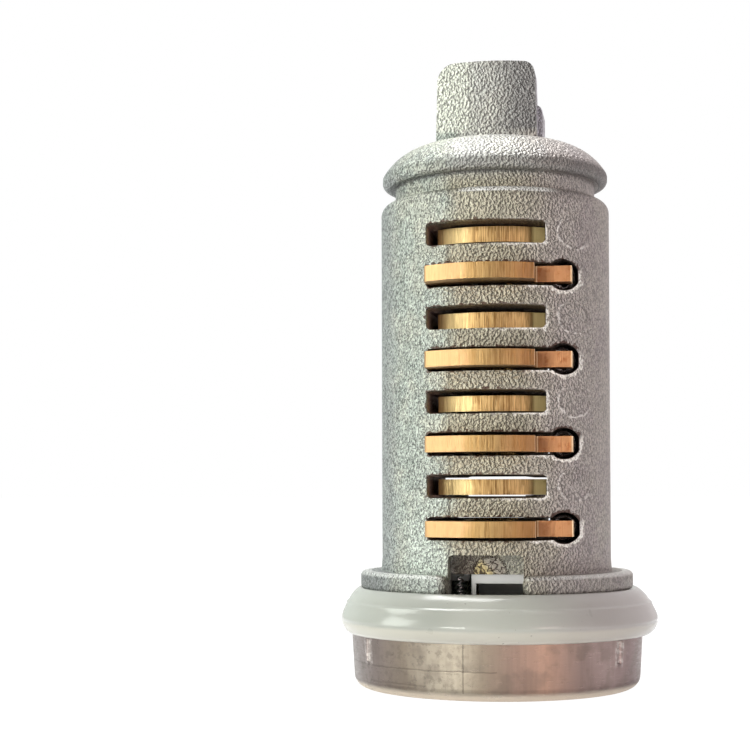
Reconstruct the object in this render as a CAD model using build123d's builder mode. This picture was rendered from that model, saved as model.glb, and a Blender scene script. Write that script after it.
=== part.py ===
from build123d import *
import math
import os

# Door lock cylinder of a vehicle: a die-cast plug with eight wafers, a seal ring,
# a crimped face cap and a sprung key shutter.
# Millimetres, +Z up. The plug stands on its face, so z = 0 is the face of the cap and the
# clip end is on top. The notch and the ends of the even wafers face the front, -Y.

os.makedirs("parts", exist_ok=True)

# Face cap
cap_top_r = 10.88
cap_face_r = 10.63
cap_wall = 0.6
cap_height = 4.3
cap_edge_r = 0.95
cap_bore_r = 10.2
cap_inner_edge_r = 0.4
keyhole_w = 3.3
keyhole_l = 8.4
keyhole_corner_r = 0.8
stake_r = 0.42
stake_depth = 0.3
stake_bottom = 2.3
stake_top = 3.9
stake_angles = (31, 143.5, 216.5, 329)

# Plug, from the head inside the cap up to the clip flange
head_r = 10.15
head_edge = 0.45
neck_r = 9.2
flange_r = 10.18
flange_bottom = 7.27
flange_top = 8.64
flange_edge_r = 0.35
foot_r = 8.64
foot_top = 9.6
body_r = 8.57
body_top = 36.2
body_edge_r = 0.9
groove_r = 7.5
rim_bottom = 37.4
rim_top = 38.2
rim_r = 8.46
rim_edge_r = 0.45
rim_shoulder_r = 0.5
dome_mid_r = 7.05
dome_mid_z = 39.72
dome_r = 4.3
dome_z = 40.52
crown_z = 40.8

# Drive tang and the lower lug behind it
tang_left = -3.97
tang_right = 3.22
tang_foot_spread = 0.18
tang_front = -3.45
tang_side_front = -2.1
tang_back = 0.15
tang_top = 46.34
tang_left_corner_r = 1.3
tang_right_corner_r = 0.75
lug_left = -2.6
lug_right = 3.66
lug_back = 3.3
lug_top = 43.75
lug_lean = 0.2
lug_corner_r = 0.6

# Wafer rows, counted from the top; odd rows are the even ones turned half round
wafer_count = 8
wafer_pitch = 3.0
top_row_z = 32.93
wafer_t = 1.12
wafer_drops = (-0.08, 0.04, 0.1, 0.08, 0.09, 0.07, 0.08, 0.03)
wafer_end_r = 6.7
wafer_half_l = 8.45
wafer_left = -4.21
wafer_right = 3.5
wafer_step_x = 3.66
wafer_corner_r = 0.45
wafer_rest = 2.05
window_w = 3.6
window_l = 10.3
window_corner_r = 0.5
nub_reach = 0.7
nub_root = 0.2
nub_l = 1.7
nub_steps = (2, 4, 1, 3, 4, 2, 3, 1)
nub_step_l = 0.6
nub_middle_step = 2.5
arm_end = 6.1
arm_front = -7.4
arm_depth = 1.5

# Slots, window mouths and spring pockets in the plug
slot_half_w = 4.27
slot_h = 1.35
middle_slot_h = 1.56
mouth_h = 1.5
mouth_drop = 0.04
mouth_depth = 5.0
mouth_inset = 0.15
mouth_corner_r = 0.18
mouth_draft = 1.6
arm_slot_floor = -3.7
pocket_x = 5.45
pocket_r = 1.12
pocket_flat = 6.47
pocket_floor = -0.9
keyway_w = 3.4
keyway_l = 8.4
keyway_top = 34.4
keyway_corner_r = 0.4
strip_half_w = 2.6
strip_depth = 0.045
strip_top = 32.6

# Notch in the flange, over the shutter chamber
notch_w = 5.35
notch_bottom = 6.5
notch_top = 10.05
notch_floor = -6.2
notch_corner_r = 0.4
notch_edge_r = 0.55
chamber_half_w = 3.9
chamber_front = notch_floor
chamber_back = 5.3
chamber_top = 8.6

# Shutter, its pin, springs and guide plate
pin_x = -2.6
pin_z = 1.6
pin_r = 0.4
pin_front = -9.5
pin_back = 6.4
pin_play = 0.04
pin_chamfer = 0.1
barrel_r = 0.85
flap_t = 0.6
flap_end = 1.95
flap_half_l = 4.35
ear_front = -6.1
ear_back = -5.05
ear_end = -1.25
guide_t = 0.7
guide_half_w = 3.8
guide_front = -5.3
guide_relief_x = -1.3
guide_relief_y = -2.0
guide_relief_size = 10
guide_tab_t = 0.32
guide_tab_depth = 0.55
guide_tab_bottom = 5.2
guide_leg_half_l = 2.6
guide_back_leg_half_l = 1.8
guide_slot_w = 3.7
guide_slot_l = 8.6
bend_r = 0.5
coil_x = 5.32
coil_r = 0.8
wire_r = 0.11
spring_turns = 5
shutter_coil_x = -2.1
shutter_coil_y = -5.6
shutter_coil_r = 0.24
shutter_wire_r = 0.07
shutter_turns = 14
seat_gap = 0.02

# How far a rough shape runs past the cut that trims it
margin = 1.0

# Seal ring
ring_bore_r = 9.22
ring_top_r = 10.3
ring_top_z = 7.42
ring_lip_r = 11.06
ring_lip_z = 4.0
ring_bulge = (
    (11.03, 6.8),
    (11.38, 6.35),
    (11.62, 5.9),
    (11.76, 5.45),
    (11.8, 5.0),
    (11.68, 4.55),
    (11.42, 4.15),
)
ring_lip_round = 0.1

chamber_mid_y = (chamber_front + chamber_back) / 2
chamber_l = chamber_back - chamber_front


def row_z(row):
    return top_row_z - wafer_pitch * (row - 1)


def row_side(row):
    # 1 where the wafer's arm is at the front right, -1 where it is at the back left
    return 1 if row % 2 == 0 else -1


def level_plane(row, drop):
    side = row_side(row)
    return Plane(origin=(0, 0, row_z(row) - drop), x_dir=(side, 0, 0), z_dir=(0, 0, 1))


def window_plane(row, depth_y, side):
    # upright plane at a depth behind the surface, looking outward through a window
    return Plane(origin=(0, side * depth_y, row_z(row)), x_dir=(side, 0, 0), z_dir=(0, -side, 0))


# Drive tang with its bowed front and drafted sides, then the lower lug behind it
tang_foot = dome_z - margin
with BuildPart() as tang:
    with BuildSketch(Plane.XY.offset(tang_foot)):
        with BuildLine():
            front_left = (tang_left - margin, tang_side_front)
            front_right = (tang_right + margin, tang_side_front)
            bow = ThreePointArc(front_left, ((tang_left + tang_right) / 2, tang_front), front_right)
            Polyline(bow @ 1, (tang_right + margin, tang_back), (tang_left - margin, tang_back), bow @ 0)
        make_face()
    extrude(amount=tang_top - tang_foot)
    with BuildSketch(Plane.XZ.offset(-body_r)) as tang_front_view:
        with BuildLine():
            Polyline(
                (tang_left - tang_foot_spread, tang_foot),
                (tang_right + tang_foot_spread, tang_foot),
                (tang_right, tang_top),
                (tang_left, tang_top),
                close=True,
            )
        make_face()
        fillet(tang_front_view.vertices().sort_by_distance((tang_left, tang_top))[0], tang_left_corner_r)
        fillet(tang_front_view.vertices().sort_by_distance((tang_right, tang_top))[0], tang_right_corner_r)
    extrude(amount=2 * body_r, mode=Mode.INTERSECT)
    with BuildSketch(Plane.YZ.offset(lug_left)):
        Polygon((0, tang_foot), (lug_back, tang_foot), (lug_back - lug_lean, lug_top), (0, lug_top), align=None)
    extrude(amount=lug_right - lug_left)
    for lug_side in (lug_left, lug_right):
        fillet(edges().filter_by(Axis.Y).sort_by_distance((lug_side, lug_back / 2, lug_top))[0], lug_corner_r)

# Plug: one die casting
with BuildPart() as plug:
    with BuildSketch(Plane.XZ) as outline:
        with BuildLine():
            Polyline(
                (0, cap_wall),
                (head_r - head_edge, cap_wall),
                (head_r, cap_wall + head_edge),
                (head_r, cap_height),
                (neck_r, cap_height),
                (neck_r, flange_bottom),
                (flange_r, flange_bottom),
                (flange_r, flange_top),
                (foot_r, flange_top),
                (body_r, foot_top),
                (body_r, body_top),
                (groove_r, body_top),
                (groove_r, rim_bottom),
                (rim_r, rim_bottom),
                (rim_r, rim_top),
            )
            ThreePointArc((rim_r, rim_top), (dome_mid_r, dome_mid_z), (dome_r, dome_z))
            Polyline((dome_r, dome_z), (0, crown_z), (0, cap_wall))
        make_face()
        rounded_corners = (
            (body_r, body_top, body_edge_r),
            (rim_r, rim_bottom, rim_edge_r),
            (rim_r, rim_top, rim_shoulder_r),
            (flange_r, flange_top, flange_edge_r),
            (flange_r, flange_bottom, flange_edge_r),
        )
        for r, z, edge_r in rounded_corners:
            fillet(outline.vertices().sort_by_distance((r, z))[0], edge_r)
    revolve(axis=Axis.Z)

    # drive tang and lug
    add(tang.part)

    # keyway and shutter chamber
    with BuildSketch(Plane.XY.offset(cap_wall)):
        RectangleRounded(keyway_w, keyway_l, keyway_corner_r)
    extrude(amount=keyway_top - cap_wall, mode=Mode.SUBTRACT)
    with BuildSketch(Plane.XY.offset(cap_wall)):
        with Locations((0, chamber_mid_y)):
            Rectangle(2 * chamber_half_w, chamber_l)
    extrude(amount=chamber_top - cap_wall, mode=Mode.SUBTRACT)

    # notch through the flange and up into the body
    with BuildSketch(Plane.XZ.offset(-notch_floor)) as notch:
        with Locations((0, (notch_bottom + notch_top) / 2)):
            Rectangle(notch_w, notch_top - notch_bottom)
        fillet(notch.vertices().group_by(Axis.Y)[-1], notch_corner_r)
    extrude(amount=flange_r, mode=Mode.SUBTRACT)
    flange_front = -math.sqrt(flange_r**2 - (notch_w / 2) ** 2)
    for notch_side in (1, -1):
        corner = (notch_side * notch_w / 2, flange_front, (flange_bottom + flange_top) / 2)
        fillet(edges().filter_by(Axis.Z).sort_by_distance(corner)[0], notch_edge_r)

    # shallow strip that the side core leaves over the notch
    with BuildSketch(Plane.XY.offset(notch_top - margin)):
        Circle(body_r + margin)
        Circle(body_r - strip_depth, mode=Mode.SUBTRACT)
        with Locations((0, -body_r)):
            Rectangle(2 * strip_half_w, body_r, mode=Mode.INTERSECT)
    extrude(amount=strip_top - notch_top + margin, mode=Mode.SUBTRACT)

    # wafer slots right through, one for each row
    with BuildSketch(Plane.XZ.offset(-flange_r)):
        with Locations((0, top_row_z - wafer_pitch * (wafer_count - 1) / 2)):
            with GridLocations(0, wafer_pitch, 1, wafer_count):
                Rectangle(2 * slot_half_w, slot_h)
                Rectangle(2 * strip_half_w, middle_slot_h)
    extrude(amount=2 * flange_r, mode=Mode.SUBTRACT)

    # window mouths: long ones where an arm comes out, short ones at its other end
    for row in range(1, wafer_count + 1):
        arm_side = row_side(row)
        for side in (1, -1):
            long_end = pocket_x if side == arm_side else slot_half_w - mouth_inset
            width = long_end + slot_half_w - mouth_inset
            with BuildSketch(window_plane(row, -mouth_depth, side)):
                with Locations((long_end - width / 2, -mouth_drop)):
                    RectangleRounded(width, mouth_h, mouth_corner_r)
            extrude(amount=body_r, taper=-mouth_draft, mode=Mode.SUBTRACT)
        with BuildSketch(window_plane(row, arm_slot_floor, arm_side)):
            with Locations((pocket_x / 2, 0)):
                Rectangle(pocket_x, slot_h)
        extrude(amount=body_r, mode=Mode.SUBTRACT)
        with BuildSketch(window_plane(row, pocket_floor, arm_side)):
            with Locations((pocket_x, 0)):
                Circle(pocket_r)
            with Locations((pocket_flat, 0)):
                Rectangle(2 * pocket_r, 2 * pocket_r, align=(Align.MIN, Align.CENTER), mode=Mode.SUBTRACT)
        extrude(amount=body_r, mode=Mode.SUBTRACT)

    # cross bore that carries the shutter pin
    with BuildSketch(Plane.XZ.offset(-pin_back)):
        with Locations((pin_x, pin_z)):
            Circle(pin_r)
    extrude(amount=pin_back + head_r + margin, mode=Mode.SUBTRACT)
plug.part.label = "plug"
export_step(plug.part, "parts/plug.step")

# Wafers: stamped brass, each with a key window, a nub at its own height and a spring arm
for row in range(1, wafer_count + 1):
    nub_y = (nub_steps[row - 1] - nub_middle_step) * nub_step_l
    with BuildPart() as wafer:
        with BuildSketch(level_plane(row, wafer_t / 2 + wafer_drops[row - 1])) as stamping:
            for end in (-1, 1):
                with Locations((0, end * (wafer_half_l - wafer_end_r) - wafer_rest)):
                    Circle(wafer_end_r)
            with Locations((0, -wafer_rest)):
                Rectangle(2 * wafer_end_r, 2 * (wafer_half_l - wafer_end_r))
            with Locations(((wafer_left + wafer_step_x) / 2, -wafer_rest)):
                Rectangle(wafer_step_x - wafer_left, 2 * wafer_half_l, mode=Mode.INTERSECT)
            fillet(stamping.vertices().group_by(Axis.X)[0], wafer_corner_r)
            # the step between the end and the arm leans in a little towards the arm
            with BuildLine():
                Polyline(
                    (wafer_step_x, -wafer_half_l - wafer_rest),
                    (wafer_right, arm_front),
                    (wafer_right + margin, arm_front),
                    (wafer_right + margin, -wafer_half_l - wafer_rest),
                    close=True,
                )
            make_face(mode=Mode.SUBTRACT)
            with Locations((arm_end, arm_front + arm_depth / 2)):
                Rectangle(arm_end - wafer_right + margin, arm_depth, align=(Align.MAX, Align.CENTER))
            with Locations((0, -wafer_rest)):
                RectangleRounded(window_w, window_l, window_corner_r, mode=Mode.SUBTRACT)
            with Locations((window_w / 2 - nub_reach, nub_y - wafer_rest)):
                Rectangle(nub_reach + nub_root, nub_l, align=(Align.MIN, Align.CENTER))
        extrude(amount=wafer_t)
    wafer.part.label = f"wafer_{row}"
    export_step(wafer.part, f"parts/wafer_{row}.step")

# Wafer springs: one coil in each pocket, from its floor to the arm
for row in range(1, wafer_count + 1):
    side = row_side(row)
    length = -(arm_front + arm_depth - pocket_floor) - 2 * seat_gap - 2 * wire_r
    start_y = side * (pocket_floor - seat_gap - wire_r)
    with BuildPart() as wafer_spring:
        with BuildLine() as coil:
            Helix(
                pitch=length / spring_turns,
                height=length,
                radius=coil_r,
                center=(side * coil_x, start_y, row_z(row)),
                direction=(0, -side, 0),
            )
        with BuildSketch(Plane(origin=coil.line @ 0, z_dir=coil.line % 0)):
            RegularPolygon(wire_r, 4)
        sweep(is_frenet=True)
    wafer_spring.part.label = f"wafer_spring_{row}"
    export_step(wafer_spring.part, f"parts/wafer_spring_{row}.step")

# Face cap: drawn steel cup, staked over the head
with BuildPart() as face_cap:
    with BuildSketch(Plane.XZ) as cup:
        with BuildLine():
            Polyline(
                (0, 0),
                (cap_face_r, 0),
                (cap_top_r, cap_height),
                (cap_bore_r, cap_height),
                (cap_bore_r, cap_wall),
                (0, cap_wall),
                (0, 0),
            )
        make_face()
        fillet(cup.vertices().sort_by_distance((cap_face_r, 0))[0], cap_edge_r)
        fillet(cup.vertices().sort_by_distance((cap_bore_r, cap_wall))[0], cap_inner_edge_r)
    revolve(axis=Axis.Z)
    with BuildSketch():
        RectangleRounded(keyhole_w, keyhole_l, keyhole_corner_r)
    extrude(amount=cap_wall, mode=Mode.SUBTRACT)
    with BuildSketch(Plane.XY.offset(stake_bottom)):
        for angle in stake_angles:
            with PolarLocations(cap_top_r + stake_r - stake_depth, 1, start_angle=angle):
                Circle(stake_r)
    extrude(amount=stake_top - stake_bottom, mode=Mode.SUBTRACT)
face_cap.part.label = "face_cap"
export_step(face_cap.part, "parts/face_cap.step")

# Seal ring: soft bulged ring between the cap's rim and the flange
with BuildPart() as seal_ring:
    with BuildSketch(Plane.XZ):
        with BuildLine():
            top_edge = (ring_top_r, ring_top_z)
            bulge = Spline((top_edge,) + ring_bulge + ((ring_lip_r + ring_lip_round, ring_lip_z),))
            Polyline(
                bulge @ 1,
                (ring_lip_r, ring_lip_z),
                (ring_lip_r, cap_height + seat_gap),
                (ring_bore_r, cap_height + seat_gap),
                (ring_bore_r, flange_bottom - seat_gap),
                (ring_top_r, flange_bottom - seat_gap),
                bulge @ 0,
            )
        make_face()
    revolve(axis=Axis.Z)
seal_ring.part.label = "seal_ring"
export_step(seal_ring.part, "parts/seal_ring.step")

# Shutter guide: bent steel plate under the chamber's roof, standing on the cap by two legs,
# with a tab turned down beside the shutter's spring
with BuildPart() as shutter_guide:
    with BuildSketch(Plane.XZ.offset(guide_leg_half_l)) as side_bend:
        with Locations((guide_half_w - guide_t / 2, (cap_wall + chamber_top) / 2)):
            Rectangle(guide_t, chamber_top - cap_wall)
    extrude(amount=-2 * guide_leg_half_l)
    with BuildSketch(Plane.YZ.offset(-guide_back_leg_half_l)):
        with Locations((chamber_back - guide_t / 2, (cap_wall + chamber_top) / 2)):
            Rectangle(guide_t, chamber_top - cap_wall)
    extrude(amount=2 * guide_back_leg_half_l)
    with BuildSketch(Plane.XY.offset(chamber_top - guide_t)):
        with Locations((0, (guide_front + chamber_back) / 2)):
            Rectangle(2 * guide_half_w, chamber_back - guide_front)
        with Locations((guide_relief_x, guide_relief_y)):
            Rectangle(guide_relief_size, guide_relief_size, align=(Align.MAX, Align.MAX), mode=Mode.SUBTRACT)
        RectangleRounded(guide_slot_w, guide_slot_l, keyway_corner_r, mode=Mode.SUBTRACT)
    extrude(amount=guide_t)
    with BuildSketch(Plane.XY.offset(guide_tab_bottom)):
        with Locations((guide_relief_x, guide_front)):
            Rectangle(guide_tab_t, guide_tab_depth, align=(Align.MIN, Align.MIN))
    extrude(amount=chamber_top - guide_tab_bottom)
    bends = edges().filter_by(Axis.Y).sort_by_distance((guide_half_w, 0, chamber_top))[0]
    fillet(bends, bend_r)
    back_bend = edges().filter_by(Axis.X).sort_by_distance((0, chamber_back, chamber_top))[0]
    fillet(back_bend, bend_r)
shutter_guide.part.label = "shutter_guide"
export_step(shutter_guide.part, "parts/shutter_guide.step")

# Shutter: flap behind the keyhole, turning on the pin, with an ear for its spring
with BuildPart() as shutter:
    with BuildSketch(Plane.XZ.offset(-flap_half_l)):
        with Locations((pin_x, pin_z)):
            Circle(barrel_r)
    extrude(amount=flap_half_l - ear_front)
    with BuildSketch(Plane.XZ.offset(-flap_half_l)):
        with Locations((pin_x, pin_z - barrel_r)):
            Rectangle(flap_end - pin_x, flap_t, align=(Align.MIN, Align.MIN))
    extrude(amount=2 * flap_half_l)
    with BuildSketch(Plane.XZ.offset(-ear_back)):
        with Locations((pin_x, pin_z)):
            Rectangle(ear_end - pin_x, 2 * barrel_r, align=(Align.MIN, Align.CENTER))
    extrude(amount=ear_back - ear_front)
    with BuildSketch(Plane.XZ.offset(-flap_half_l)):
        with Locations((pin_x, pin_z)):
            Circle(pin_r + pin_play)
    extrude(amount=flap_half_l - ear_front, mode=Mode.SUBTRACT)
shutter.part.label = "shutter"
export_step(shutter.part, "parts/shutter.step")

# Shutter pin
with BuildPart() as shutter_pin:
    with BuildSketch(Plane.XZ.offset(-pin_back)):
        with Locations((pin_x, pin_z)):
            Circle(pin_r)
    extrude(amount=pin_back - pin_front)
    chamfer(shutter_pin.edges().filter_by(GeomType.CIRCLE), pin_chamfer)
shutter_pin.part.label = "shutter_pin"
export_step(shutter_pin.part, "parts/shutter_pin.step")

# Shutter spring: upright coil between the chamber's roof and the shutter's ear
with BuildPart() as shutter_spring:
    with BuildLine() as upright_coil:
        low = pin_z + barrel_r + seat_gap + shutter_wire_r
        rise = chamber_top - seat_gap - shutter_wire_r - low
        Helix(
            pitch=rise / shutter_turns,
            height=rise,
            radius=shutter_coil_r,
            center=(shutter_coil_x, shutter_coil_y, low),
        )
    with BuildSketch(Plane(origin=upright_coil.line @ 0, z_dir=upright_coil.line % 0)):
        RegularPolygon(shutter_wire_r, 4)
    sweep(is_frenet=True)
shutter_spring.part.label = "shutter_spring"
export_step(shutter_spring.part, "parts/shutter_spring.step")
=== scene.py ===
import math

import bmesh
import bpy
from mathutils import Matrix, Vector


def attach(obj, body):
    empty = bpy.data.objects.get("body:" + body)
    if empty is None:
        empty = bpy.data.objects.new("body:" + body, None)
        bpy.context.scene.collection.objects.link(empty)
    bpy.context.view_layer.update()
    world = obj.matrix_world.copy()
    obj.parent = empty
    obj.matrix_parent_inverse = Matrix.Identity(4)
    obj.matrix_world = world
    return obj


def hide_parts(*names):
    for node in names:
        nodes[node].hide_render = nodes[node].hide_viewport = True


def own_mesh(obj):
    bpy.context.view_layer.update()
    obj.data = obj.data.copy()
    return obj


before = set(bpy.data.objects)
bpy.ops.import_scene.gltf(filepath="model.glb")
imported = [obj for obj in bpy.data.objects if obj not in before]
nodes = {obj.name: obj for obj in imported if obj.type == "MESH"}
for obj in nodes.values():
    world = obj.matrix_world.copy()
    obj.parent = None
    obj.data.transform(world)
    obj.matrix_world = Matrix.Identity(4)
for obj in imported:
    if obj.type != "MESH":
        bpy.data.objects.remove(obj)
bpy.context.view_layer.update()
MM = 0.001


# The plug is one zinc die casting: barrel, flanges, drive tang and lug.
# It is left as cast, so its skin is finely wrinkled, flash stands along the lips of
# its windows, and the pins and the gate of the die have left their marks.
class Channel:
    """One socket of a node tree; arithmetic on it adds the Math nodes."""

    def __init__(self, tree, socket):
        self.tree = tree
        self.socket = socket

    def calc(self, operation, *values):
        sockets = dict(enumerate(values))
        return self.tree.node("ShaderNodeMath", {"operation": operation}, sockets)

    def __add__(self, other):
        return self.calc("ADD", self, other)

    def __radd__(self, other):
        return self.calc("ADD", other, self)

    def __sub__(self, other):
        return self.calc("SUBTRACT", self, other)

    def __rsub__(self, other):
        return self.calc("SUBTRACT", other, self)

    def __mul__(self, other):
        return self.calc("MULTIPLY", self, other)

    def __rmul__(self, other):
        return self.calc("MULTIPLY", other, self)

    def __truediv__(self, other):
        return self.calc("DIVIDE", self, other)

    def __pow__(self, other):
        return self.calc("POWER", self, other)

    def __gt__(self, other):
        return self.calc("GREATER_THAN", self, other)

    def __lt__(self, other):
        return self.calc("LESS_THAN", self, other)

    def __abs__(self):
        return self.calc("ABSOLUTE", self)

    def at_least(self, other):
        return self.calc("MAXIMUM", self, other)

    def at_most(self, other):
        return self.calc("MINIMUM", self, other)

    def fraction(self):
        return self.calc("FRACT", self)

    def above(self, place):
        """One where a length is past this place in millimetres, and nought elsewhere."""
        return self > place * MM

    def below(self, place):
        return self < place * MM

    def rise(self, start, end):
        """Nought at start and one at end, in millimetres; end may be the lower place."""
        return self.tree.ramp(self, start * MM, end * MM)


class NodeWork:
    """A node tree that is built from Python expressions."""

    def __init__(self, tree):
        self.tree = tree

    def node(self, kind, settings=None, sockets=None, out=0):
        made = self.tree.nodes.new(kind)
        for name, value in (settings or {}).items():
            if name == "stops":
                ramp = made.color_ramp.elements
                while len(ramp) < len(value):
                    ramp.new(0.5)
                for element, (place, colour) in zip(ramp, value):
                    element.position = place
                    element.color = (*colour, 1)
            else:
                setattr(made, name, value)
        for name, value in (sockets or {}).items():
            self.feed(made.inputs[name], value)
        return Channel(self, made.outputs[out])

    def feed(self, socket, value):
        if isinstance(value, Channel):
            self.tree.links.new(value.socket, socket)
        elif hasattr(value, "__len__") and socket.type == "RGBA":
            socket.default_value = (*value[:3], 1)
        else:
            socket.default_value = value

    def split(self, vector):
        parts = self.node("ShaderNodeSeparateXYZ", sockets={0: vector})
        return [Channel(self, parts.socket.node.outputs[i]) for i in range(3)]

    def ramp(self, value, low, high):
        sockets = {0: value, 1: low, 2: high, 3: 0.0, 4: 1.0}
        return self.node("ShaderNodeMapRange", {"interpolation_type": "SMOOTHSTEP"}, sockets)

    def mix(self, share, low, high, blend="MIX"):
        settings = {"data_type": "RGBA", "blend_type": blend}
        return self.node("ShaderNodeMix", settings, {0: share, 6: low, 7: high}, out=2)


class Finish(NodeWork):
    """A material for one kind of surface, read on the object's own coordinates."""

    def __init__(self, name, **constants):
        self.material = bpy.data.materials.new(name)
        self.material.use_nodes = True
        super().__init__(self.material.node_tree)
        self.shader = self.tree.nodes["Principled BSDF"]
        for socket, value in constants.items():
            self.shader.inputs[socket.replace("_", " ")].default_value = value

    def give(self, socket, value):
        self.feed(self.shader.inputs[socket], value)

    def place(self):
        return self.node("ShaderNodeTexCoord", out="Object")

    def axes(self):
        return self.split(self.place())

    def stretched(self, scale, turn=(0, 0, 0)):
        sockets = {"Vector": self.place(), "Scale": scale, "Rotation": turn}
        return self.node("ShaderNodeMapping", sockets=sockets)

    def noise(self, size, detail=2.0, rough=0.5, vector=None, shift=0.0, twist=0.0):
        """Noise of about this size; shift picks another pattern of the same kind."""
        sockets = {"Scale": 1 / size, "Detail": detail, "Roughness": rough}
        sockets.update({"W": shift, "Distortion": twist})
        sockets["Vector"] = self.place() if vector is None else vector
        return self.node("ShaderNodeTexNoise", {"noise_dimensions": "4D"}, sockets)

    def bump(self, height, depth):
        sockets = {"Strength": 1.0, "Distance": depth, "Height": height}
        return self.node("ShaderNodeBump", sockets=sockets)


def dress(names, finish):
    for name in names:
        for slot in nodes[name].material_slots:
            slot.material = finish.material


class CastZinc(Finish):
    """Zinc as it leaves the die, with the marks that the plug's die has left on it, and painted
    light and shade.
    """

    def __init__(self, name, grain=0.18 * MM, depth=0.25 * MM):
        super().__init__(name, Metallic=0.8, IOR=1.5)
        self.x, self.y, self.z = self.axes()
        self.across = (self.x * self.x + self.y * self.y) ** 0.5
        self.on_barrel = self.across.above(8.3) * self.z.above(10.5) * self.z.below(34.5)
        self.lumps = self.noise(0.3 * MM, detail=1.0, shift=11.0)
        self.wrinkle(grain)
        self.find_windows()
        ground = self.paint_relief_shading(self.tones())
        ground = self.shade_bands(ground)
        ground, top_edge = self.brighten_edges(ground)
        ground = self.shade_slots(ground)
        ground = self.shade_mouths(ground)
        ground = self.paint_flash_highlights(ground)
        ground = self.print_rings(ground)
        ground = self.leave_gate_scar(ground)
        self.give("Base Color", ground)
        self.give("Metallic", 0.8 - 0.8 * top_edge)
        self.give("Roughness", 0.4 + 0.2 * self.ramp(self.coarse, 0.3, 0.7))
        self.give("Normal", self.bump(self.coarse * 0.72 + self.fine * 0.28, depth))

    def wrinkle(self, grain):
        """The height of the skin, and the painted light and shade of its wrinkles."""
        lie = self.stretched((1, 1, 0.85), (0, 0.6, 0))
        self.coarse = self.noise(grain, detail=1.5, vector=lie, twist=0.25)
        self.fine = self.noise(grain * 0.5, detail=1.0, vector=lie, shift=3.0)
        # the height a little way down each slope, which gives painted shade on the lee of every
        # wrinkle
        down = (-0.2 * grain, -0.05 * grain, 0.24 * grain)
        aside = self.node("ShaderNodeVectorMath", {"operation": "ADD"}, {0: lie, 1: down})
        lower = self.noise(grain, detail=1.5, vector=aside, twist=0.25)
        lee_shade = self.ramp(self.coarse - lower, -0.075, 0.075)
        # painted shade in the creases between the wrinkles, more low on the left
        creases = self.ramp(abs(self.coarse - 0.5), 0.01, 0.11)
        creased = self.z.rise(36.0, 34.0) * self.x.rise(-1.0, -4.0) * 0.22 + 0.24
        light = creases * creased + lee_shade * (1 - creased)
        # the painted light and shade are flattened towards the right
        flattened = self.x.rise(2.0, 7.5) * 0.45
        middle = 0.56
        sockets = {0: flattened, 2: light, 3: middle}
        self.relief = self.node("ShaderNodeMix", {"data_type": "FLOAT"}, sockets)

    def tones(self):
        """Broad tones: cool on the left, straw in front, warm on the right; the cool and warm
        tints are painted tints of the light from each side.
        """
        x, y, z = self.x, self.y, self.z
        patches = self.noise(2.6 * MM, rough=0.55, shift=7.0)
        shade = self.ramp(patches, 0.4, 0.62)
        cool = self.mix(shade, (0.45, 0.485, 0.45), (0.495, 0.505, 0.45))
        low_left = z.rise(15.0, 11.0) * x.rise(-7.0, -5.0)
        cool = self.mix(low_left, cool, (0.54, 0.58, 0.54))
        # painted shade on the far left, which turns away from the light
        shaded_far_left = x.rise(-6.0, -8.0)
        cool = self.mix(shaded_far_left, cool, (0.36, 0.38, 0.38))
        straw = self.mix(shade, (0.425, 0.40, 0.33), (0.46, 0.43, 0.345))
        plain = self.mix(shade, (0.51, 0.51, 0.49), (0.55, 0.545, 0.51))
        warm = self.mix(shade, (0.435, 0.39, 0.385), (0.465, 0.425, 0.405))
        straw = self.mix(z.rise(36.5, 38.0), straw, plain)
        front = x + (patches - 0.5) * (2.0 * MM)
        ground = self.mix(front.rise(-3.2, -1.9), cool, straw)
        right = x + (patches - 0.5) * (6.0 * MM)
        ground = self.mix(right.rise(1.5, 6.0), ground, warm)
        on_tang = z.rise(41.0, 41.5) * y.below(-1.2)
        # painted shade on the right half of the tang, painted light on its left half
        ground = self.mix(on_tang * x.rise(-0.5, 2.5), ground, (0.33, 0.33, 0.33))
        ground = self.mix(on_tang * x.rise(-0.8, -2.4), ground, (0.65, 0.66, 0.60))
        # painted light on the side of the lug
        lit_lug_side = z.above(41.2) * y.above(-1.2) * x.above(2.8)
        return self.mix(lit_lug_side * 0.8, ground, (0.60, 0.59, 0.66))

    def paint_relief_shading(self, ground):
        # painted shade in the valleys and painted light on the crests of the wrinkles
        shaded_valley = self.mix(1.0, ground, (0.26, 0.26, 0.26), blend="MULTIPLY")
        lit_crest = self.mix(1.0, ground, (1.55, 1.55, 1.53), blend="MULTIPLY")
        return self.mix(self.relief, shaded_valley, lit_crest)

    def shade_bands(self, ground):
        """Painted shade on bands that get little light: flange, groove, clip rim and the left of
        the dome; painted light on the right of the groove and of the dome.
        """
        x, z = self.x, self.z
        past_foot = self.across.above(8.7)
        past_groove = self.across.above(7.8)
        in_groove = self.across.below(7.9)
        groove_start = z.rise(36.3, 36.5)
        on_dome = z.rise(38.4, 38.8) * z.below(41.2)
        # painted light on the right of the groove, then on the right of the dome
        pale = groove_start * z.below(37.2) * in_groove * x.rise(3.0, 5.5)
        ground = self.mix(pale * 0.12, ground, (0.95, 0.92, 0.90))
        ground = self.mix(on_dome * x.rise(2.0, 6.0) * 0.14, ground, (0.95, 0.95, 0.97))
        shaded = z.below(8.8) * past_foot * (0.23 + 0.12 * x.rise(-2.0, -6.0))
        shaded = shaded + groove_start * z.below(37.4) * 0.12 * x.rise(4.0, 1.0)
        under_lip = z.rise(37.2, 37.4) * z.rise(38.7, 38.1) * past_groove
        shaded = shaded + under_lip * (0.12 + 0.28 * x.rise(-6.0, -1.0) + 0.15 * x.rise(3.0, 7.0))
        groove_top = z.rise(37.15, 37.32) * z.below(37.45) * in_groove
        shaded = shaded + groove_top * (0.2 + 0.3 * x.rise(5.0, 2.0))
        shaded = shaded + on_dome * x.rise(-2.0, -6.0) * 0.12
        return self.mix(shaded, ground, (0.10, 0.10, 0.10))

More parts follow.
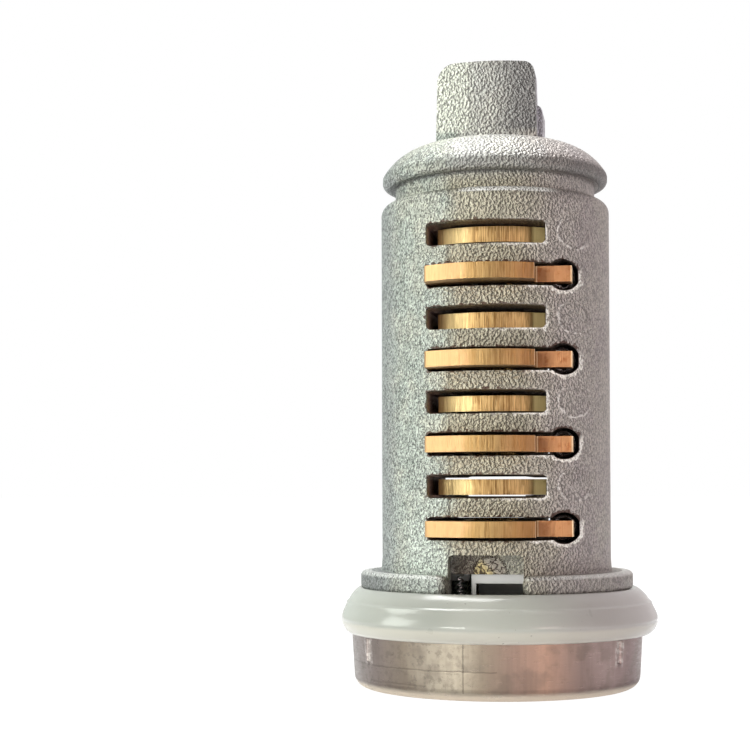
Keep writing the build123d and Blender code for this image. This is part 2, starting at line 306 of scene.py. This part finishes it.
    def brighten_edges(self, ground):
        """A painted highlight along the top edge of the barrel, and a lighter band round the rim
        of the flange.
        """
        x, z = self.x, self.z
        top_edge = z.rise(35.7, 35.84) * z.below(36.4) * self.across.above(7.6)
        top_edge = top_edge * x.rise(-2.4, -0.8) * x.rise(5.5, 4.0)
        flange_rim = z.rise(8.3, 8.5) * z.below(8.66) * self.across.above(9.4) * 0.5
        # painted highlight on the barrel's top edge and a lighter band on the flange's rim, on
        # the crests only
        rubbed = (top_edge + flange_rim) * self.ramp(self.relief, 0.1, 0.35)
        return self.mix(rubbed, ground, (1.0, 1.0, 0.98)), top_edge

    def shade_slots(self, ground):
        """Painted shade darkens the walls of the slots, less so at their left end."""
        in_slots = self.across.rise(8.3, 7.7) * self.z.above(10.3) * self.z.below(35.4)
        left_end = self.x.rise(-3.3, -3.8)
        slot_shade = self.mix(left_end, (0.11, 0.075, 0.065), (0.55, 0.40, 0.36))
        return self.mix(in_slots * 0.8, ground, slot_shade)

    def find_windows(self):
        """Where a spot lies from the nearest windows, as seen from the side that they face."""
        pocket_x = 5.45 * MM
        pocket_r = 1.13 * MM
        pocket_flat = 6.49 * MM
        top_row = 32.93 * MM
        pitch = 3.0 * MM
        back = self.y > 0.0
        self.side = self.x * (back * 2.0 - 1.0) * -1.0
        turned = self.z + back * pitch
        self.below_plain = self.below_row(turned, top_row)
        self.below_arm = self.below_row(turned, top_row - pitch)
        square = (self.side - pocket_x) ** 2.0 + self.below_arm * self.below_arm
        self.off_pocket = (square ** 0.5 - pocket_r).at_least(self.side - pocket_flat)

    def below_row(self, height, row):
        """How far a spot is below the nearest window of the kind that sits at this row."""
        pitch = 6.0 * MM
        # half a pitch centres each window, and ten whole ones keep the sum above nought
        start = 10.5 * pitch - row
        return pitch / 2 - ((height + start) / pitch).fraction() * pitch

    def off_slot(self, sideways, upright):
        """How far a spot is outside a window, from its place beside and below the middle."""
        half_w = 4.16 * MM
        half_h = 0.76 * MM
        beside = (sideways - half_w).at_least(0.0)
        return (beside ** 2.0 + (abs(upright) - half_h).at_least(0.0) ** 2.0) ** 0.5

    def shade_mouths(self, ground):
        """The mouths of the windows are ragged, and painted shade lies along their edges."""
        ragged = (self.lumps - 0.5) * (0.9 * MM)
        off_plain = self.off_slot(abs(self.side), self.below_plain)
        off_arm = self.off_slot(0.0 - self.side, self.below_arm) + self.side.above(4.75)
        off_round = self.off_pocket.at_least(0.0)
        nearest = off_plain.at_most(off_arm.at_most(off_round))
        torn = (nearest + ragged).rise(0.13, 0.05) * self.on_barrel
        return self.mix(torn * 0.85, ground, (0.085, 0.04, 0.03))

    def paint_flash_highlights(self, ground):
        """Flash stands along the lower lips of the windows and round each pocket's foot, with a
        painted highlight where it catches the light.
        """
        side, below_plain, below_arm = self.side, self.below_plain, self.below_arm
        swell = (self.lumps - 0.5) * (0.6 * MM)
        off_plain = self.off_slot(side, below_plain)
        plain_lip = off_plain.rise(0.0, 0.03) * (off_plain + swell).rise(0.3, 0.18)
        plain_lip = plain_lip * side.rise(-0.8, 3.0) * below_plain.rise(-1.1, -0.2)
        arm_lip = below_arm.rise(0.76, 0.79) * (below_arm + swell).rise(1.06, 0.94)
        arm_lip = arm_lip * side.rise(2.6, 3.4) * side.rise(4.9, 4.7)
        pocket_lip = self.off_pocket.rise(0.0, 0.03) * (self.off_pocket + swell).rise(0.3, 0.18)
        pocket_x = 5.45 * MM
        low_right = below_arm + (side - pocket_x) * 0.7
        pocket_lip = pocket_lip * low_right.rise(0.1, 0.7)
        beads = self.noise(0.16 * MM, detail=1.0, shift=27.0)
        flash_highlight = (plain_lip + arm_lip + pocket_lip) * self.on_barrel
        flash_highlight = flash_highlight * (0.4 + 0.6 * self.ramp(beads, 0.38, 0.5))
        return self.mix(flash_highlight, ground, (1.0, 0.97, 0.92))

    def print_rings(self, ground):
        """The pins of the die print a faint ring beside the short end of each window, with a
        painted highlight on one side of it and painted shade just inside it.
        """
        side, below = self.side, self.below_plain
        wander = self.noise(0.7 * MM, shift=23.0)
        ring_x = 6.2 * MM
        off_ring = ((side - ring_x) ** 2.0 + below * below) ** 0.5
        off_ring = off_ring + (wander - 0.5) * (0.5 * MM)
        ring_highlight = off_ring.rise(0.98, 1.10) * off_ring.rise(1.24, 1.14)
        ring_highlight = ring_highlight * self.ramp(self.lumps, 0.38, 0.6) * (below - side).rise(-7.2, -5.8)
        ring_shade = off_ring.rise(0.82, 0.92) * off_ring.rise(1.04, 0.96)
        ground = self.mix(ring_shade * self.on_barrel * 0.25, ground, (0.12, 0.10, 0.10))
        return self.mix(ring_highlight * self.on_barrel * 0.8, ground, (0.90, 0.86, 0.84))

    def leave_gate_scar(self, ground):
        """The gate was broken off on the floor of the notch, and its scar is partly golden; the
        floor has painted shade on its left and painted light on its right.
        """
        x, z = self.x, self.z
        notch_floor = 6.2 * MM
        gate_x = 0.12 * MM
        gate_z = 8.67 * MM
        black = (0.06, 0.04, 0.035)
        floor = abs(self.y + notch_floor).below(0.12) * z.above(8.5) * z.below(10.1)
        floor = floor * abs(x).below(2.7)
        off_gate = ((x - gate_x) ** 2.0 + (z - gate_z) ** 2.0) ** 0.5
        off_gate = off_gate + (self.fine - 0.5) * (0.6 * MM)
        rim = off_gate.rise(1.14, 1.19) * off_gate.rise(1.3, 1.24)
        scar = off_gate.rise(1.16, 1.08)
        worms = self.noise(0.33 * MM, detail=1.0, rough=0.4, shift=17.0, twist=0.6)
        worms = self.ramp(abs(worms - 0.5), 0.085, 0.035)
        broken = self.mix((x + z).rise(9.5, 8.7), (0.66, 0.61, 0.54), (0.98, 0.84, 0.46))
        left = floor * x.rise(0.4, -1.4) * (1 - scar)
        right = floor * x.rise(0.6, 1.4) * (1 - scar)
        stray = (1 - scar) * worms * x.rise(-0.4, -1.2) * z.rise(9.8, 9.4)
        # painted shade on the left of the notch floor, painted light on its right
        ground = self.mix(left * 0.4, ground, (0.12, 0.08, 0.09))
        ground = self.mix(right * 0.35, ground, (0.85, 0.84, 0.78))
        ground = self.mix(floor * scar * 0.9, ground, broken)
        ground = self.mix(floor * (rim + scar * worms) * 0.9, ground, black)
        return self.mix(floor * stray * 0.6, ground, black)


zinc = CastZinc("die_cast_zinc")
dress(["plug"], zinc)


# The pins that shape the spring pockets meet the other half of the die here, and
# each leaves a faint raised circle beside the short end of a window.
def circle_layout(sizes):
    """A node tree that lays thin beads round the barrel: four in front, four behind."""
    tree = bpy.data.node_groups.new("core_circles", "GeometryNodeTree")
    work = NodeWork(tree)
    tree.interface.new_socket(
        "Geometry", in_out="OUTPUT", socket_type="NodeSocketGeometry")
    for name, value in sizes.items():
        socket = tree.interface.new_socket(
            name, in_out="INPUT", socket_type="NodeSocketFloat")
        socket.default_value = value
    given = tree.nodes.new("NodeGroupInput")
    size = {name: Channel(work, given.outputs[name]) for name in sizes}
    behind = 1.0 * MM

    def row_line(start):
        sockets = {"Count": 4, "Start Location": start, "Offset": step}
        return work.node("GeometryNodeMeshLine", {"mode": "OFFSET"}, sockets)

    step = work.node("ShaderNodeCombineXYZ", sockets={2: 0.0 - size["Pitch"]})
    first = work.node("ShaderNodeCombineXYZ", sockets={0: size["Side"], 2: size["Top row"]})
    back_row = size["Top row"] - size["Pitch"] / 2.0
    back_first = work.node(
        "ShaderNodeCombineXYZ", sockets={0: 0.0 - size["Side"], 1: behind, 2: back_row})
    both = work.node("GeometryNodeJoinGeometry")
    for start in (first, back_first):
        tree.links.new(row_line(start).socket, both.socket.node.inputs[0])
    circle = work.node(
        "GeometryNodeCurvePrimitiveCircle",
        sockets={"Resolution": 48, "Radius": size["Circle radius"]})
    upright = work.node(
        "GeometryNodeTransform",
        sockets={"Geometry": circle, "Rotation": (math.pi / 2, 0, 0)})
    spread = work.node(
        "GeometryNodeInstanceOnPoints", sockets={"Points": both, "Instance": upright})
    loose = work.node("GeometryNodeRealizeInstances", sockets={"Geometry": spread})
    x, y, z = work.split(work.node("GeometryNodeInputPosition"))
    reach = size["Barrel radius"] * size["Barrel radius"] - x * x
    depth = (reach ** 0.5) * ((y > behind / 2) * 2.0 - 1.0)
    on_barrel = work.node("ShaderNodeCombineXYZ", sockets={0: x, 1: depth, 2: z})
    laid = work.node(
        "GeometryNodeSetPosition", sockets={"Geometry": loose, "Position": on_barrel})
    section = work.node(
        "GeometryNodeCurvePrimitiveCircle",
        sockets={"Resolution": 6, "Radius": size["Bead radius"]})
    beads = work.node(
        "GeometryNodeCurveToMesh", sockets={"Curve": laid, "Profile Curve": section})
    smooth = work.node("GeometryNodeSetShadeSmooth", sockets={"Geometry": beads})
    coated = work.node(
        "GeometryNodeSetMaterial", sockets={"Geometry": smooth, "Material": zinc.material})
    tree.links.new(coated.socket, tree.nodes.new("NodeGroupOutput").inputs[0])
    return tree


def core_circles():
    sizes = {
        "Circle radius": 1.11 * MM,
        "Bead radius": 0.035 * MM,
        "Barrel radius": 8.56 * MM,
        "Side": 6.2 * MM,
        "Top row": 32.93 * MM,
        "Pitch": 6.0 * MM,
    }
    carrier = bpy.data.objects.new("core_circles", bpy.data.meshes.new("core_circles"))
    bpy.context.collection.objects.link(carrier)
    layout = carrier.modifiers.new("circles", "NODES")
    layout.node_group = circle_layout(sizes)
    for item in layout.node_group.interface.items_tree:
        if item.in_out == "INPUT":
            layout[item.identifier] = sizes[item.name]
    evaluated = carrier.evaluated_get(bpy.context.evaluated_depsgraph_get())
    mesh = bpy.data.meshes.new_from_object(evaluated)
    carrier.modifiers.remove(layout)
    carrier.data = mesh
    return carrier


circles = core_circles()
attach(circles, "plug")


# Eight wafers are stamped from half-hard brass sheet: the punch leaves fine
# lines across every edge, and the faces stay flat. They drop into the slots
# from the front and the back in turn.
class StampedBrass(Finish):
    """Brass that a punch has sheared, with the wafer's arm redder than its edge."""

    def __init__(self):
        super().__init__("stamped_brass", Metallic=1.0)
        self.x, self.y, _ = self.axes()
        self.plain_end = self.ramp(abs(self.y), 7.0 * MM, 6.6 * MM)
        self.turned_x = self.x * ((self.y > 0.0) * -2.0 + 1.0)
        self.arm = self.turned_x.rise(3.66, 3.7) * abs(self.y).above(5.7)
        punched = self.stretched((1, 1, 0.03))
        self.lines = self.noise(0.1 * MM, detail=3.0, rough=0.7, vector=punched)
        self.bands = self.noise(0.55 * MM, rough=0.6, vector=punched, shift=4.0)
        ground = self.punch_marks(self.tones())
        ground, lit_far_end = self.light_far_ends(ground)
        self.give("Base Color", self.slot_shade(ground))
        self.give("Metallic", 1 - lit_far_end)
        self.give("Roughness", 0.34 + 0.2 * self.ramp(self.lines, 0.35, 0.7))
        self.give("Normal", self.bump(self.lines * 0.6 + self.bands * 0.4, 0.05 * MM))

    def tones(self):
        """Pale gold on the left, deeper gold, then copper on the right and on the arm: painted
        light and reflection across the wafer, with the plain ends painted lighter.
        """
        x, bands, plain_end = self.x, self.bands, self.plain_end
        tarnish = self.noise(1.4 * MM, shift=9.0)
        drift = x + (tarnish - 0.5) * (3.0 * MM)
        pale = self.mix(bands, (0.72, 0.455, 0.235), (0.66, 0.40, 0.19))
        lit_pale_end = self.mix(bands, (1.0, 0.80, 0.42), (0.90, 0.67, 0.31))
        pale = self.mix(plain_end, pale, lit_pale_end)
        gold = self.mix(bands, (0.65, 0.435, 0.20), (0.48, 0.31, 0.125))
        lit_gold_end = self.mix(bands, (0.82, 0.56, 0.27), (0.58, 0.385, 0.16))
        gold = self.mix(plain_end, gold, lit_gold_end)
        copper = self.mix(bands, (0.43, 0.235, 0.11), (0.345, 0.185, 0.08))
        arm_copper = self.mix(bands, (0.52, 0.255, 0.125), (0.44, 0.205, 0.10))
        ground = self.mix(drift.rise(-1.8, -0.8), pale, gold)
        ground = self.mix(drift.rise(0.2, 3.2) * (1 - plain_end * 0.85), ground, copper)
        ground = self.mix(self.arm, ground, arm_copper)
        middle = abs(x).rise(2.2, 1.0) * (1 - plain_end)
        return self.mix(middle * 0.10, ground, (0.10, 0.06, 0.03))

    def punch_marks(self, ground):
        """Dark lines and tears that the punch leaves, and stains on the arm."""
        arm, plain_end = self.arm, self.plain_end
        to_left = self.x.rise(-0.7, -1.3)
        tears = self.noise(0.22 * MM, rough=0.7, vector=self.stretched((1, 1, 0.12)), shift=2.0)
        dark = self.ramp(self.lines, 0.60, 0.42)
        torn = self.ramp(tears, 0.5, 0.38)
        dark = dark * (0.52 + 0.2 * plain_end) * (1 - 0.6 * arm) * (1 - 0.6 * to_left)
        torn = torn * (0.38 + 0.3 * plain_end) * (1 - arm) * (1 - 0.7 * to_left)
        stain = self.ramp(self.noise(0.5 * MM, detail=3.0, rough=0.6, shift=13.0), 0.52, 0.66)
        ground = self.mix(dark, ground, (0.24, 0.12, 0.035))
        ground = self.mix(torn, ground, (0.20, 0.10, 0.03))
        return self.mix(arm * stain * 0.55, ground, (0.30, 0.09, 0.03))

    def light_far_ends(self, ground):
        """The far end of each plain edge turns away and is painted light, and the arm's corners
        are sheared, with a painted highlight on their burrs.
        """
        turned_x, plain_end = self.turned_x, self.plain_end
        lit_far_end = turned_x.rise(1.2, 2.6) * 0.15 + turned_x.rise(3.1, 3.4) * 0.85
        lit_far_end = lit_far_end * plain_end * turned_x.below(4.1)
        ground = self.mix(lit_far_end, ground, (1.0, 0.78, 0.36))
        arm_root = turned_x.above(3.58) * turned_x.below(3.67) * (1 - plain_end)
        # painted highlight on the burrs at the arm's tip and root
        sheared = self.arm * turned_x.rise(6.0, 6.04) + arm_root
        return self.mix(sheared * 0.8, ground, (0.85, 0.64, 0.42)), lit_far_end

    def slot_shade(self, ground):
        """Painted shade darkens the flat faces inside the barrel."""
        facing = self.split(self.node("ShaderNodeTexCoord", out="Normal"))[2]
        across = (self.x * self.x + self.y * self.y) ** 0.5
        shaded_faces = across.rise(7.8, 6.8) * self.ramp(abs(facing), 0.6, 0.9)
        return self.mix(shaded_faces * 0.8, ground, (0.10, 0.055, 0.025))


dress([f"wafer_{row}" for row in range(1, 9)], StampedBrass())


# The springs are coiled from bright music wire: one behind the arm of each
# wafer, and a taller one over the ear of the shutter. One end of each stays on
# its seat, and the coils close up as the piece at the other end moves; the
# copies here keep the one shape of their solids.
def bright_wire():
    finish = Finish("bright_wire", Metallic=1.0)
    drawn = finish.noise(0.25 * MM)
    finish.give("Base Color", finish.mix(drawn, (0.62, 0.62, 0.64), (0.78, 0.78, 0.79)))
    finish.give("Roughness", 0.18 + 0.14 * drawn)
    return finish


def coil(node, wire):
    """A copy of a spring's solid in bright wire, which stands in for the hidden spring."""
    piece = bpy.data.objects.new(f"{node}_coil", nodes[node].data.copy())
    bpy.context.collection.objects.link(piece)
    for slot in piece.material_slots:
        slot.material = wire.material
    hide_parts(node)
    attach(piece, "plug")
    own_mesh(piece)


def wafer_coils(wire):
    for row in range(1, 9):
        coil(f"wafer_spring_{row}", wire)


def shutter_coil(wire):
    coil("shutter_spring", wire)


wire = bright_wire()
wafer_coils(wire)
shutter_coil(wire)


# The seal ring is moulded from soft milky silicone. It is stretched over the
# neck, bulges out between the flange and the cap, and its lip hangs over the
# rim of the cap. It sits a little to one side, as a loose ring does.
def milky_silicone():
    finish = Finish(
        "milky_silicone", IOR=1.45, Subsurface_Weight=0.5, Subsurface_Scale=3.0 * MM,
        Coat_Weight=0.8, Coat_Roughness=0.14)
    finish.shader.inputs["Subsurface Radius"].default_value = (1.0, 1.0, 0.95)
    x, _, z = finish.axes()
    cloud = finish.noise(3.5 * MM, detail=3.0)
    # the cool left and warm right are painted tints of the light from each side
    cool = finish.mix(cloud, (0.46, 0.48, 0.44), (0.54, 0.55, 0.50))
    warm = finish.mix(cloud, (0.43, 0.405, 0.395), (0.49, 0.46, 0.45))
    ground = finish.mix(x.rise(2.0, 8.5), cool, warm)
    # painted shade on the left
    ground = finish.mix(x.rise(0.5, -4.0) * 0.3, ground, (0.20, 0.21, 0.19))
    # painted reflection of the pale table on the lower band
    lower = (z + (cloud - 0.5) * (0.2 * MM)).rise(5.05, 4.8)
    ground = finish.mix(lower * 0.5, ground, (0.66, 0.62, 0.53))
    # painted highlight along the bottom edge
    edge = z.rise(4.32, 4.15)
    ground = finish.mix(edge * 0.6, ground, (0.80, 0.78, 0.72))
    specks = finish.ramp(finish.noise(0.22 * MM, detail=1.0, shift=6.0), 0.755, 0.78)
    finish.give("Base Color", finish.mix(specks * 0.6, ground, (0.20, 0.18, 0.16)))
    finish.give("Roughness", 0.22 + 0.16 * cloud)
    finish.give("Normal", finish.bump(finish.noise(0.8 * MM), 0.012 * MM))
    return finish


def seal_section(bore):
    """The ring's outline as radius and height, from the bore round its bulge and lip."""
    return (
        (bore, 7.24), (10.14, 7.24), (10.23, 7.36), (10.31, 7.43), (10.5, 7.34), (10.78, 7.1),
        (11.02, 6.82), (11.16, 6.58), (11.24, 6.45), (11.35, 6.39), (11.4, 6.33), (11.41, 6.22),
        (11.5, 6.0), (11.66, 5.7), (11.76, 5.42), (11.82, 5.2), (11.81, 5.1), (11.77, 5.02),
        (11.78, 4.9), (11.77, 4.76), (11.68, 4.52), (11.53, 4.28), (11.36, 4.1), (11.2, 4.03),
        (11.06, 4.06), (11.0, 4.34), (10.1, 4.36), (bore, 4.34),
    )


def seal():
    bore = 9.3
    bulge = 11.8
    shift = 0.17
    around = 160
    section = seal_section(bore)
    ring = bmesh.new()
    rows = []
    for step in range(around):
        turn = 2 * math.pi * step / around
        swell = 0.03 * math.sin(2 * turn + 0.6) + 0.02 * math.sin(5 * turn)
        row = []
        for r, z in section:
            free = (r - bore) / (bulge - bore)
            out = r + swell * free
            spot = Vector((out * math.cos(turn) + shift * free, out * math.sin(turn), z))
            row.append(ring.verts.new(spot * MM))
        rows.append(row)
    for step in range(around):
        this, following = rows[step], rows[(step + 1) % around]
        for i in range(len(section)):
            after = (i + 1) % len(section)
            ring.faces.new((this[i], this[after], following[after], following[i]))
    bmesh.ops.recalc_face_normals(ring, faces=ring.faces)
    mesh = bpy.data.meshes.new("moulded_seal")
    ring.to_mesh(mesh)
    ring.free()
    mesh.shade_smooth()
    piece = bpy.data.objects.new("moulded_seal", mesh)
    bpy.context.collection.objects.link(piece)
    rounding = piece.modifiers.new("rounding", "SUBSURF")
    rounding.levels = 1
    rounding.render_levels = 1
    return piece


seal_piece = seal()
seal_piece.data.materials.append(milky_silicone().material)
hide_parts("seal_ring")
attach(seal_piece, "plug")


# The face cap is drawn from stainless sheet and rolled over the head, then
# staked in four places. Handling has left fine scratches round its skirt.
class DrawnSteel(Finish):
    """Drawn sheet with broad tones of painted reflection from left to right, stains, scratches
    and stakes.
    """

    def __init__(self):
        super().__init__("drawn_steel", Metallic=1.0)
        self.x, self.y, self.z = self.axes()
        rubbed = self.stretched((0.12, 0.12, 1))
        upright = self.stretched((1, 1, 0.06))
        self.lines = self.noise(0.12 * MM, detail=3.0, rough=0.65, vector=rubbed)
        self.drawn = self.noise(0.35 * MM, rough=0.6, vector=upright, shift=8.0)
        cuts = self.scratches()
        ground = self.mix(cuts * 0.42, self.tones(), (0.07, 0.055, 0.045))
        self.give("Base Color", self.bruise_stakes(ground))
        self.give("Roughness", 0.26 + 0.16 * self.ramp(self.lines, 0.3, 0.7))
        height = self.lines * 0.6 + self.drawn * 0.4 - cuts * 0.6
        self.give("Normal", self.bump(height, 0.008 * MM))

    def tones(self):
        # painted reflections: light and dark bands that stand up the skirt from left to right
        stops = (
            (0.06, (0.32, 0.28, 0.27)), (0.14, (0.23, 0.19, 0.175)), (0.24, (0.24, 0.195, 0.155)),
            (0.33, (0.46, 0.40, 0.32)), (0.42, (0.49, 0.43, 0.34)), (0.50, (0.37, 0.30, 0.23)),
            (0.60, (0.41, 0.28, 0.225)), (0.70, (0.49, 0.31, 0.235)), (0.81, (0.34, 0.243, 0.22)),
            (0.89, (0.42, 0.31, 0.295)), (0.95, (0.27, 0.19, 0.185)),
        )
        radius = 11.0 * MM
        stains = self.noise(1.6 * MM, detail=3.0, rough=0.55, shift=5.0)
        place = (self.x + radius + (stains - 0.5) * (1.2 * MM)) / (2 * radius)
        ground = self.node("ShaderNodeValToRGB", {"stops": stops}, {"Fac": place})
        blotches = self.noise(0.45 * MM, detail=3.0, rough=0.65, shift=19.0)
        left = self.x.rise(1.0, -3.0)
        stained = self.ramp(stains, 0.55, 0.36)
        blotched = self.ramp(blotches, 0.5, 0.36) * left
        streaked = self.ramp(self.drawn, 0.56, 0.4)
        ground = self.mix(stained * 0.35, ground, (0.16, 0.13, 0.11))
        ground = self.mix(blotched * 0.4, ground, (0.14, 0.12, 0.10))
        ground = self.mix(streaked * 0.10, ground, (0.14, 0.11, 0.10))
        # painted reflection of the pale table on the rolled bottom edge
        rolled = (self.z + (self.lines - 0.5) * (0.2 * MM)).rise(0.75, 0.3)
        return self.mix(rolled * 0.9, ground, (0.92, 0.82, 0.70))

    def scratches(self):
        """One upright scratch, and two that run round the left of the skirt."""
        x, y, z = self.x, self.y, self.z
        upright_x = 1.35 * MM
        round_z = 2.1 * MM
        low_z = 1.0 * MM
        wander = (self.noise(0.6 * MM, shift=15.0) - 0.5) * (0.2 * MM)
        upright_cut = abs(x + upright_x + wander * 0.5).rise(0.07, 0.03)
        upright_cut = upright_cut * z.below(4.2) * z.above(0.6)
        round_cut = abs(z - round_z + wander).rise(0.08, 0.03) * x.below(1.0)
        low_cut = abs(z - low_z + wander).rise(0.1, 0.04) * x.below(-4.0) * x.above(-8.5) * 0.6
        return (upright_cut + round_cut * 0.75 + low_cut) * (y < 0)

    def bruise_stakes(self, ground):
        """Bruised metal round each of the four staked dents, and painted shade in each dent."""
        chips = self.noise(0.3 * MM, rough=0.6, shift=31.0)
        rim_chips = 0.12 + 0.4 * self.ramp(chips, 0.45, 0.6)
        pit_chips = 0.35 + 0.4 * self.ramp(chips, 0.55, 0.4)
        on_skirt = self.z.rise(1.9, 2.3) * self.z.rise(4.2, 3.8)
        for dent_x, dent_y in ((9.43, 5.67), (-8.84, 6.54), (-8.84, -6.54), (9.43, -5.67)):
            gap_x = self.x - dent_x * MM
            gap_y = self.y - dent_y * MM
            off_dent = (gap_x * gap_x + gap_y * gap_y) ** 0.5
            rim = off_dent.rise(0.25, 0.4) * off_dent.rise(0.7, 0.5) * on_skirt
            pit = off_dent.rise(0.4, 0.2) * on_skirt
            ground = self.mix(rim * rim_chips, ground, (0.72, 0.66, 0.63))
            # painted shade in the dent
            ground = self.mix(pit * pit_chips, ground, (0.07, 0.055, 0.05))
        return ground


dress(["face_cap"], DrawnSteel())


# Behind the keyhole a cast shutter turns on a steel pin, under a bent steel
# guide plate. Only the edge of the plate shows, through the notch.
def plain_steel():
    finish = Finish("plain_steel", Metallic=1.0)
    rolled = finish.noise(0.5 * MM, vector=finish.stretched((0.2, 1, 1)))
    finish.give("Base Color", finish.mix(rolled, (0.60, 0.60, 0.60), (0.72, 0.72, 0.71)))
    finish.give("Roughness", 0.3 + 0.15 * rolled)
    return finish


dress(["shutter_guide", "shutter_pin"], plain_steel())
dress(["shutter"], CastZinc("shutter_zinc", grain=0.12 * MM, depth=0.01 * MM))


# The plug stands on its face on a pale table that fades into a white backdrop.
# The camera sees the white, and metal and glass mirror some of it.
def ray_kinds(work):
    outs = ("Is Camera Ray", "Is Glossy Ray", "Is Transmission Ray")
    return [work.node("ShaderNodeLightPath", out=kind) for kind in outs]


def pale_table():
    table = Finish("pale_table", Roughness=0.9)
    table.shader.inputs["Base Color"].default_value = (0.88, 0.88, 0.88, 1)
    seen, mirrored, through = ray_kinds(table)
    glow = table.node("ShaderNodeEmission", sockets={"Color": (1, 1, 1), "Strength": 1.17})
    plain = Channel(table, table.shader.outputs[0])
    white = seen * 0.86 + mirrored * 0.3 + through * 0.86
    both = table.node("ShaderNodeMixShader", sockets={0: white, 1: plain, 2: glow})
    table.feed(table.tree.nodes["Material Output"].inputs["Surface"], both)
    half = 3.0
    corners = [(-half, -half, 0), (half, -half, 0), (half, half, 0), (-half, half, 0)]
    mesh = bpy.data.meshes.new("floor")
    mesh.from_pydata(corners, [], [(0, 1, 2, 3)])
    mesh.materials.append(table.material)
    floor = bpy.data.objects.new("floor", mesh)
    bpy.context.collection.objects.link(floor)


def pale_room():
    world = bpy.data.worlds.new("studio")
    bpy.context.scene.world = world
    world.use_nodes = True
    room = NodeWork(world.node_tree)
    x, y, _ = room.split(room.node("ShaderNodeTexCoord", out="Generated"))
    seen, mirrored, through = ray_kinds(room)
    backdrop = room.ramp(y, 0.0, 0.5) * 0.6 * (mirrored + through)
    soft = 0.26 + backdrop
    background = world.node_tree.nodes["Background"]
    room.feed(background.inputs["Strength"], seen + (1.0 - seen) * soft)
    tint = room.mix(room.ramp(x, -0.6, 0.6), (0.93, 1.0, 0.93), (1.0, 0.92, 0.92))
    room.feed(background.inputs["Color"], room.mix(seen, tint, (1, 1, 1)))


pale_table()
pale_room()


# Soft light comes from the left through two windows and from overhead, with a
# fainter warm light from the right.
def lamp(name, place, width, height, power, colour):
    light = bpy.data.lights.new(name, "AREA")
    light.shape = "RECTANGLE"
    light.size = width
    light.size_y = height
    light.energy = power
    light.color = colour
    holder = bpy.data.objects.new(name, light)
    bpy.context.collection.objects.link(holder)
    middle = Vector((0, 0, 0.023))
    holder.location = place
    holder.rotation_euler = (middle - Vector(place)).to_track_quat("-Z", "Y").to_euler()


lamp("side_window", (-0.33, -0.10, 0.09), 0.16, 0.22, power=0.52, colour=(0.95, 1.0, 0.93))
lamp("front_window", (-0.17, -0.36, 0.05), 0.12, 0.14, power=0.5, colour=(1.0, 0.99, 0.93))
lamp("overhead", (-0.06, 0.04, 0.34), 0.2, 0.2, power=1.05, colour=(1.0, 1.0, 1.0))
lamp("warm_fill", (0.24, -0.30, 0.05), 0.10, 0.2, power=0.3, colour=(1.0, 0.82, 0.76))


# The camera stands close in front of the plug, low and a little to the right,
# and is turned slightly up.
def viewer():
    distance = 119.3 * MM
    height = 14.63 * MM
    azimuth = math.radians(5.19)
    yaw = math.radians(4.381)
    pitch = math.radians(1.469)
    roll = math.radians(0.15)
    camera = bpy.data.cameras.new("camera")
    camera.lens = 75.59
    camera.sensor_width = 36
    camera.shift_y = 0.1
    camera.clip_start = 5.0 * MM
    holder = bpy.data.objects.new("camera", camera)
    bpy.context.collection.objects.link(holder)
    spot = (distance * math.sin(azimuth), -distance * math.cos(azimuth), height)
    aim = Matrix.Rotation(azimuth + yaw, 4, "Z") @ Matrix.Rotation(math.pi / 2 + pitch, 4, "X")
    holder.matrix_world = Matrix.Translation(spot) @ aim @ Matrix.Rotation(-roll, 4, "Z")
    bpy.context.scene.camera = holder


viewer()

bpy.context.scene.view_settings.view_transform = "Standard"
